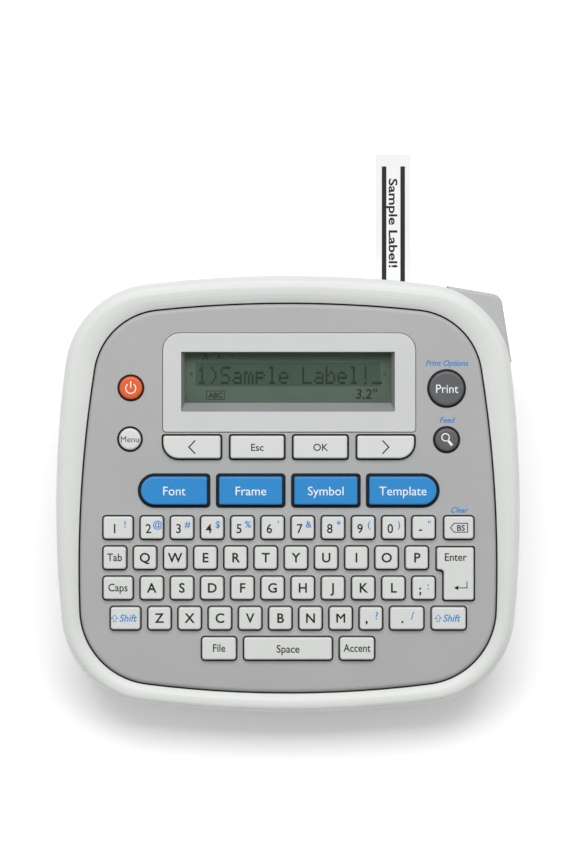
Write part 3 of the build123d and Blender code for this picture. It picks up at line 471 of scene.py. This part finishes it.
def enter_print():
    """The word in the upper part, and a bent arrow that points left in the lower part."""
    black = key_print("enter_key", "black")
    low, high = face_box("enter_key")
    x = (low[0] + high[0]) / 2
    top, bottom = high[1] - KEY_FLANGE_REACH, low[1] + KEY_FLANGE_REACH
    black.text("Enter", x, top - 3.3, WORD_CAP, WORD_BOLD, squeeze=WORD_SQUEEZE)
    v, rise = bottom + 4.3, 2.0
    tip, stem, head, right, half_head = x - 0.5, x + 0.4, x + 1.0, x + 3.9, 0.8
    black.path([(right, v + rise), (right, v), (stem, v)], FINE_LINE)
    black.solid([(tip, v), (head, v + half_head), (head, v - half_head)])
    black.finish()


def word_key(node, words, cap, colour, bold, squeeze=1.0):
    """Words in the middle of one key."""
    printed = key_print(node, colour)
    printed.text(words, *face_middle(node), cap, bold, squeeze=squeeze)
    printed.finish()


def arrow_key(node, side):
    """An open arrowhead that points left for side -1 and right for side 1."""
    printed = key_print(node, "black")
    x, v = face_middle(node)
    half_height = 2.1
    printed.path([(x - side, v + half_height), (x + side, v), (x - side, v - half_height)], ARROW_LINE)
    printed.finish()


def single_keys():
    """Legends of the keys and buttons that have one word or arrow in the middle."""
    word_key("space_key", "Space", WORD_CAP, "black", WORD_BOLD, WORD_SQUEEZE)
    arrow_key("left_key", -1)
    arrow_key("right_key", 1)
    word_key("escape_key", "Esc", NAV_CAP, "black", NAV_BOLD)
    word_key("ok_key", "OK", NAV_CAP, "black", NAV_BOLD)
    for words in ("Font", "Frame", "Symbol", "Template"):
        word_key(f"{words.lower()}_key", words, BLUE_KEY_CAP, "white", 0.0)
    word_key("menu_button", "Menu", MENU_CAP, "black", 0.0)
    word_key("print_button", "Print", PRINT_CAP, "white", 0.0, PRINT_SQUEEZE)


def power_symbol():
    """A ring open at the top, with an upright stroke through the opening."""
    printed = key_print("power_button", "white")
    x, v = face_middle("power_button")
    radius, half_opening = 1.7, 35
    printed.ring(x, v - 0.15, radius, SYMBOL_LINE, 90 + half_opening, 450 - half_opening)
    printed.bar((x, v + 0.1), (x, v + 2.1), SYMBOL_LINE)
    printed.finish()


def magnifier():
    """A lens ring with a thick handle towards the lower right."""
    printed = key_print("preview_button", "white")
    x, v = face_middle("preview_button")
    radius = 1.25
    printed.ring(x - 0.4, v + 0.8, radius, SYMBOL_LINE)
    printed.bar((x + 0.6, v - 0.45), (x + 1.55, v - 1.6), HANDLE_LINE)
    printed.finish()


def panel_words():
    """Small blue words printed on the grey panel, above what they explain."""
    blue = Print("print_panel_blue", "blue", "housing", face_box("face_panel")[1][2])
    backspace_x = span_middle(key_spans("number_keys")[-1])
    for words, node, x, rise in (
            ("Print Options", "print_button", face_middle("print_button")[0], BUTTON_WORD_RISE),
            ("Feed", "preview_button", face_middle("preview_button")[0], BUTTON_WORD_RISE),
            ("Clear", "number_keys", backspace_x, KEY_WORD_RISE)):
        top = face_box(node)[1][1]
        blue.text(words, x, top + rise, PANEL_CAP, SIGN_BOLD, PANEL_SHEAR)
    blue.finish()


# ---- Display ------------------------------------------------------------------------------------
# The rows of each dot-matrix letter from the top, with # for a dark dot.
GLYPHS = {
    "1": "..#.. .##.. ..#.. ..#.. ..#.. ..#.. .###.",
    ")": ".#... ..#.. ...#. ...#. ...#. ..#.. .#...",
    "S": ".#### #.... #.... .###. ....# ....# ####.",
    "L": "#.... #.... #.... #.... #.... #.... #####",
    "a": "..... ..... .###. ....# .#### #...# .####",
    "b": "#.... #.... #.##. ##..# #...# #...# ####.",
    "e": "..... ..... .###. #...# ##### #.... .###.",
    "l": ".##.. ..#.. ..#.. ..#.. ..#.. ..#.. .###.",
    "m": "..... ..... ##.#. #.#.# #.#.# #.#.# #.#.#",
    "p": "..... ..... ####. #...# ####. #.... #....",
    "!": "..#.. ..#.. ..#.. ..#.. ..#.. ..... ..#..",
    "_": "..... ..... ..... ..... ..... ..... #####",
    " ": "..... ..... ..... ..... ..... ..... .....",
}
DOT_STEP_X, DOT_STEP_V = 0.66, 0.86     # from one dot to the next
DOT_WIDTH, DOT_HEIGHT = 0.97 * DOT_STEP_X, 0.95 * DOT_STEP_V
DOTS_PER_LETTER = 6                     # five columns and a gap
TEXT_INSET_LEFT, TEXT_INSET_TOP = 5.2, 5.6
FIELD_INSET, FIELD_INSET_BOTTOM, FIELD_INSET_TOP = 4.6, 6.6, 4.2
FIELD_LIFT, FAINT_LIFT, DOTS_LIFT = 0.0, 0.01, 0.02     # the display's layers, above the glass

# Indicators: letter case in a frame at the lower left, label length at the lower right, three letter
# sizes along the upper edge, and a small arrow at each end of the text line.
CASE_FRAME_LEFT, CASE_FRAME_RIGHT = 3.2, 9.2
CASE_FRAME_LOW, CASE_FRAME_HIGH = 2.2, 5.0
CASE_LINE, CASE_CAP = 0.22, 1.8
LENGTH_CAP, LENGTH_BOLD, LENGTH_SHEAR = 3.4, 0.06, 0.12
LENGTH_FROM_RIGHT, LENGTH_RISE = 9.6, 4.1
SIZE_CAPS = (2.4, 1.6, 1.0)
SIZE_START, SIZE_STEP, SIZE_FROM_TOP = 2.8, 4.6, 2.3
EDGE_ARROW_INSET, EDGE_ARROW_HALF = 3.6, 0.9


def dot_line(dots, words, left, top):
    """Words in dot-matrix letters."""
    for place, letter in enumerate(words):
        start = left + place * DOTS_PER_LETTER * DOT_STEP_X
        for row, marks in enumerate(GLYPHS[letter].split()):
            v = top - row * DOT_STEP_V
            for column, mark in enumerate(marks):
                x = start + column * DOT_STEP_X
                if mark == "#":
                    dots.box(x, x + DOT_WIDTH, v - DOT_HEIGHT, v)


def lcd_picture():
    """A dot-matrix line of text on a darker field, with small indicators above and below."""
    low, high = face_box("lcd_glass")
    left, right, bottom, top, level = low[0], high[0], low[1], high[1], high[2]
    field = Print("display_field", "field", "housing", level + FIELD_LIFT)
    dots = Print("display_dots", "lcd", "housing", level + DOTS_LIFT)
    faint = Print("display_unlit", "faint", "housing", level + FAINT_LIFT)
    text_left, text_top = left + TEXT_INSET_LEFT, top - TEXT_INSET_TOP
    field.box(left + FIELD_INSET, right - FIELD_INSET, bottom + FIELD_INSET_BOTTOM, top - FIELD_INSET_TOP)
    dot_line(dots, "1)Sample Label!_", text_left, text_top)
    frame_left, frame_right = text_left + CASE_FRAME_LEFT, text_left + CASE_FRAME_RIGHT
    frame_low, frame_high = bottom + CASE_FRAME_LOW, bottom + CASE_FRAME_HIGH
    dots.path(box_corners(frame_left, frame_right, frame_low, frame_high), CASE_LINE, closed=True)
    dots.text("ABC", (frame_left + frame_right) / 2, (frame_low + frame_high) / 2, CASE_CAP, SIGN_BOLD)
    dots.text("3.2\"", right - LENGTH_FROM_RIGHT, bottom + LENGTH_RISE, LENGTH_CAP, LENGTH_BOLD, LENGTH_SHEAR)
    for place, cap in enumerate(SIZE_CAPS):
        x = text_left + SIZE_START + SIZE_STEP * place
        faint.text("A", x, top - SIZE_FROM_TOP, cap, SIGN_BOLD)
    v = text_top - 3 * DOT_STEP_V
    for side, x in ((1, left + EDGE_ARROW_INSET), (-1, right - EDGE_ARROW_INSET)):
        arrow = [(x - side, v), (x, v - EDGE_ARROW_HALF), (x, v + EDGE_ARROW_HALF)]
        faint.solid(arrow[::side])      # turned round for the right arrow, so that its face is up too
    for piece in (field, dots, faint):
        piece.finish()


BEVEL_LIFT = 0.03           # the painted shade stands this far above the bezel's walls
BEVEL_MARGIN = 1.2          # the window's edge that the bezel covers


def window_bevel_shade():
    """Painted shade: a darker grey sheet over the four sloping walls between the bezel's face and the display
    window.
    """
    low, high = face_box("display_window")
    deep_level = high[2] + BEVEL_LIFT
    near_level = face_box("display_bezel")[1][2] + BEVEL_LIFT
    deep = box_corners(low[0] + BEVEL_MARGIN, high[0] - BEVEL_MARGIN, low[1] + BEVEL_MARGIN,
                       high[1] - BEVEL_MARGIN)
    near = box_corners(-WINDOW_HALF, WINDOW_HALF, WINDOW_LOW, WINDOW_HIGH)
    points = [(x, v, deep_level) for x, v in deep] + [(x, v, near_level) for x, v in near]
    shade_sheet = Print("window_bevel_shade", "shade", "housing", near_level)
    shade_sheet.add(points, [(i, (i + 1) % 4, (i + 1) % 4 + 4, i + 4) for i in range(4)])
    shade_sheet.finish()


# ---- Painted shadow in the gaps round the keys --------------------------------------------------
def rounded_corners(corners, radii, steps=6):
    """Outline points of a polygon, counter-clockwise, each corner rounded by its own radius."""
    points = []
    count = len(corners)
    for index, (corner, radius) in enumerate(zip(corners, radii)):
        here = Vector(corner)
        before = (Vector(corners[index - 1]) - here).normalized()
        after = (Vector(corners[(index + 1) % count]) - here).normalized()
        start, end = here + before * radius, here + after * radius
        centre = start + after * radius
        first = math.atan2(start.y - centre.y, start.x - centre.x)
        turn = math.atan2(end.y - centre.y, end.x - centre.x) - first
        turn = (turn + math.pi) % (2 * math.pi) - math.pi
        for step in range(steps + 1):
            angle = first + turn * step / steps
            points.append((centre.x + radius * math.cos(angle), centre.y + radius * math.sin(angle)))
    return points


def band_between(shade_sheet, inner, outer):
    """Flat faces between two outlines with the same number of points."""
    count = len(inner)
    points = [(x, v, shade_sheet.level) for x, v in inner + outer]
    shade_sheet.add(points, [(i, i + count, (i + 1) % count + count, (i + 1) % count) for i in range(count)])


def gap_ring(shade_sheet, corners, radii, reach):
    """A flat black band of painted shadow, over the dark rubber below, from a rectangular key's foot out to
    the edge of its hole.
    """
    def grown(amount):
        (left, low), (right, high) = corners[0], corners[2]
        moved = box_corners(left - amount, right + amount, low - amount, high + amount)
        return rounded_corners(moved, [radius + amount for radius in radii])

    band_between(shade_sheet, grown(-GAP_OVERLAP), grown(reach))


def enter_gap(shade_sheet):
    """The band round the L-shaped key, whose lower part is narrower on the left."""
    low, high = face_box("enter_key")
    left, bottom = low[:2] + KEY_FLANGE_REACH
    right, top = high[:2] - KEY_FLANGE_REACH

    def grown(amount):
        step_x, step_v = left + ENTER_STEP - amount, top - ENTER_TOP_HEIGHT - amount
        corners = [(step_x, bottom - amount), (right + amount, bottom - amount),
                   (right + amount, top + amount), (left - amount, top + amount),
                   (left - amount, step_v), (step_x, step_v)]
        return rounded_corners(corners, [ENTER_CORNER_R] * len(corners))

    band_between(shade_sheet, grown(-GAP_OVERLAP), grown(KEY_GAP))


def bar_gap(shade_sheet, node, big_corners, big_radius, reach, gap):
    """The band round one key of the two bars. Corners 0 to 3 go round from the lower left."""
    low, high = face_box(node)
    corners = box_corners(low[0] + reach, high[0] - reach, low[1] + reach, high[1] - reach)
    radii = [big_radius if corner in big_corners else BAR_CORNER_R for corner in range(4)]
    gap_ring(shade_sheet, corners, radii, gap)


def key_gaps():
    """Flat black bands in the holes round every key and button, a little under the panel's face: painted
    shadow in the narrow gaps, over the dark rubber under the keys.
    """
    shade_sheet = Print("key_gap_shadows", "gap", "housing", GAP_LEVEL)
    for node in ("number_keys", "upper_letter_keys", "home_letter_keys", "lower_letter_keys", "shortcut_keys",
                 "space_key"):
        low, high = face_box(node)
        for left, right in key_spans(node):
            corners = box_corners(left, right, low[1] + KEY_FLANGE_REACH, high[1] - KEY_FLANGE_REACH)
            gap_ring(shade_sheet, corners, [KEY_CORNER_R] * 4, KEY_GAP)
    for node, big_corners in (("left_key", (0,)), ("escape_key", ()), ("ok_key", ()), ("right_key", (1,))):
        bar_gap(shade_sheet, node, big_corners, NAV_CORNER_R, NAV_FLANGE_REACH, NAV_GAP)
    for node, big_corners in (("font_key", (0, 3)), ("frame_key", ()), ("symbol_key", ()),
                              ("template_key", (1, 2))):
        bar_gap(shade_sheet, node, big_corners, FUNCTION_CORNER_R, FUNCTION_FLANGE_REACH, FUNCTION_GAP)
    for node in ("power_button", "menu_button", "print_button", "preview_button"):
        low, high = face_box(node)
        radius = (high[0] - low[0]) / 2 - BUTTON_FLANGE_REACH
        width = BUTTON_GAP + GAP_OVERLAP
        middle = radius - GAP_OVERLAP + width / 2
        shade_sheet.ring(*face_middle(node), middle, width, steps=48)
    enter_gap(shade_sheet)
    shade_sheet.finish()


def outer_ring(points):
    """The convex outline round a set of (x, v) points, counter-clockwise."""
    ordered = sorted({(round(x, 3), round(v, 3)) for x, v in points})
    halves = []
    for run in (ordered, ordered[::-1]):
        chain = []
        for x, v in run:
            while len(chain) > 1:
                (ax, av), (bx, bv) = chain[-2:]
                if (bx - ax) * (v - av) - (bv - av) * (x - ax) > 0:
                    break
                chain.pop()
            chain.append((x, v))
        halves.append(chain[:-1])
    return halves[0] + halves[1]


def panel_groove():
    """Painted shadow: the black line round the grey panel, down in the groove between it and the rim."""
    outline = [Vector(point) for point in outer_ring(face_points("face_panel")[:, :2])]
    shade_sheet = Print("panel_groove_shadow", "gap", "housing", GROOVE_LEVEL)
    count = len(outline)
    normals = []
    for index, here in enumerate(outline):
        along = (outline[(index + 1) % count] - outline[index - 1]).normalized()
        normals.append(Vector((along.y, -along.x)))
    inner = [here - side * GROOVE_INSIDE for here, side in zip(outline, normals)]
    outer = [here + side * PANEL_GAP for here, side in zip(outline, normals)]
    band_between(shade_sheet, inner, outer)
    shade_sheet.finish()


# ---- Label --------------------------------------------------------------------------------------
RULE_PLACES, RULE_HALF_WIDTH = (-3.05, 3.3), 0.78       # ruled lines, from the label's middle line
RULE_FROM_SLOT, RULE_FROM_END = 0.5, 4.0
LABEL_CAP, LABEL_BOLD, LABEL_WIDEN = 2.95, 0.09, 1.38
WORDS_ASIDE, WORDS_FROM_END = 0.1, 23.5


def label_print():
    """Two ruled lines and sample words along the printed label."""
    low, high = face_box("printed_label")
    printed = Print("label_print", "black", "label", high[2])
    middle = (low[0] + high[0]) / 2
    for place in RULE_PLACES:
        left, right = middle + place - RULE_HALF_WIDTH, middle + place + RULE_HALF_WIDTH
        printed.box(left, right, low[1] + RULE_FROM_SLOT, high[1] - RULE_FROM_END)
    printed.text("Sample Label!", middle + WORDS_ASIDE, high[1] - WORDS_FROM_END, LABEL_CAP, LABEL_BOLD,
                 squeeze=LABEL_WIDEN, turn=-math.pi / 2)
    printed.finish()


# ---- Stage --------------------------------------------------------------------------------------
FLOOR_HALF = 3.0
FLOOR_GLOW = 0.15           # lifts the floor's shadows a little
LIGHTS = (                  # name, place, size in metres, and power in watts
    ("top_softbox", (0.0, 0.42, 1.34), (1.4, 0.8), 17.2),
    ("left_fill", (-1.1, -0.1, 0.8), (0.8, 1.0), 2.2),
    ("right_fill", (1.1, -0.1, 0.8), (0.8, 1.0), 1.6),
)
LIGHT_TARGET = (0, 0, 0.04)
SKY_STRENGTH = 0.25
CAMERA_DISTANCE = 1.2
VIEW_HEIGHT = 0.292         # what the frame's long side covers at the face, in metres
VIEW_CENTRE_V = 20.8        # mm up the slope from the face's centre


def floor():
    """A wide, plain white floor."""
    mesh = bpy.data.meshes.new("floor")
    corners = [(x, y, 0) for x, y in box_corners(-FLOOR_HALF, FLOOR_HALF, -FLOOR_HALF, FLOOR_HALF)]
    mesh.from_pydata(corners, [], [(0, 1, 2, 3)])
    piece = bpy.data.objects.new("floor", mesh)
    bpy.context.scene.collection.objects.link(piece)
    material, tree, shader = new_material("floor")
    grain = noise(tree, 8)
    tree.links.new(tint(tree, grain, (0.93, 0.93, 0.93), 0.004), shader.inputs["Base Color"])
    shader.inputs["Roughness"].default_value = 0.9
    shader.inputs["Emission Color"].default_value = (1, 1, 1, 1)
    shader.inputs["Emission Strength"].default_value = FLOOR_GLOW
    mesh.materials.append(material)


def area_light(name, place, size, power):
    """A rectangular light that faces the object."""
    light = bpy.data.lights.new(name, "AREA")
    light.shape = "RECTANGLE"
    light.size, light.size_y = size
    light.energy = power
    lamp = bpy.data.objects.new(name, light)
    lamp.location = place
    lamp.rotation_euler = (Vector(LIGHT_TARGET) - Vector(place)).to_track_quat("-Z", "Y").to_euler()
    bpy.context.scene.collection.objects.link(lamp)


def lights():
    """A large softbox above and behind, a fill from each side, and an even sky."""
    for light in LIGHTS:
        area_light(*light)
    world = bpy.data.worlds.new("studio")
    world.use_nodes = True
    background = world.node_tree.nodes["Background"]
    background.inputs["Color"].default_value = (1, 1, 1, 1)
    background.inputs["Strength"].default_value = SKY_STRENGTH
    bpy.context.scene.world = world
    bpy.context.scene.view_settings.view_transform = "Standard"


def camera():
    """Looks straight at the middle of the sloping face and the label, along the face's normal."""
    data = bpy.data.cameras.new("camera")
    data.sensor_width = 36.0
    data.lens = data.sensor_width * CAMERA_DISTANCE / VIEW_HEIGHT
    view = bpy.data.objects.new("camera", data)
    view.matrix_world = FACE @ Matrix.Translation((0, VIEW_CENTRE_V * MM, CAMERA_DISTANCE))
    bpy.context.scene.collection.objects.link(view)
    bpy.context.scene.camera = view


# ---- Make everything ----------------------------------------------------------------------------
camera()
number_row()
upper_row()
home_row()
lower_row()
shortcut_row()
enter_print()
single_keys()
power_symbol()
magnifier()
panel_words()
lcd_picture()
window_bevel_shade()
key_gaps()
panel_groove()
label_print()
floor()
lights()
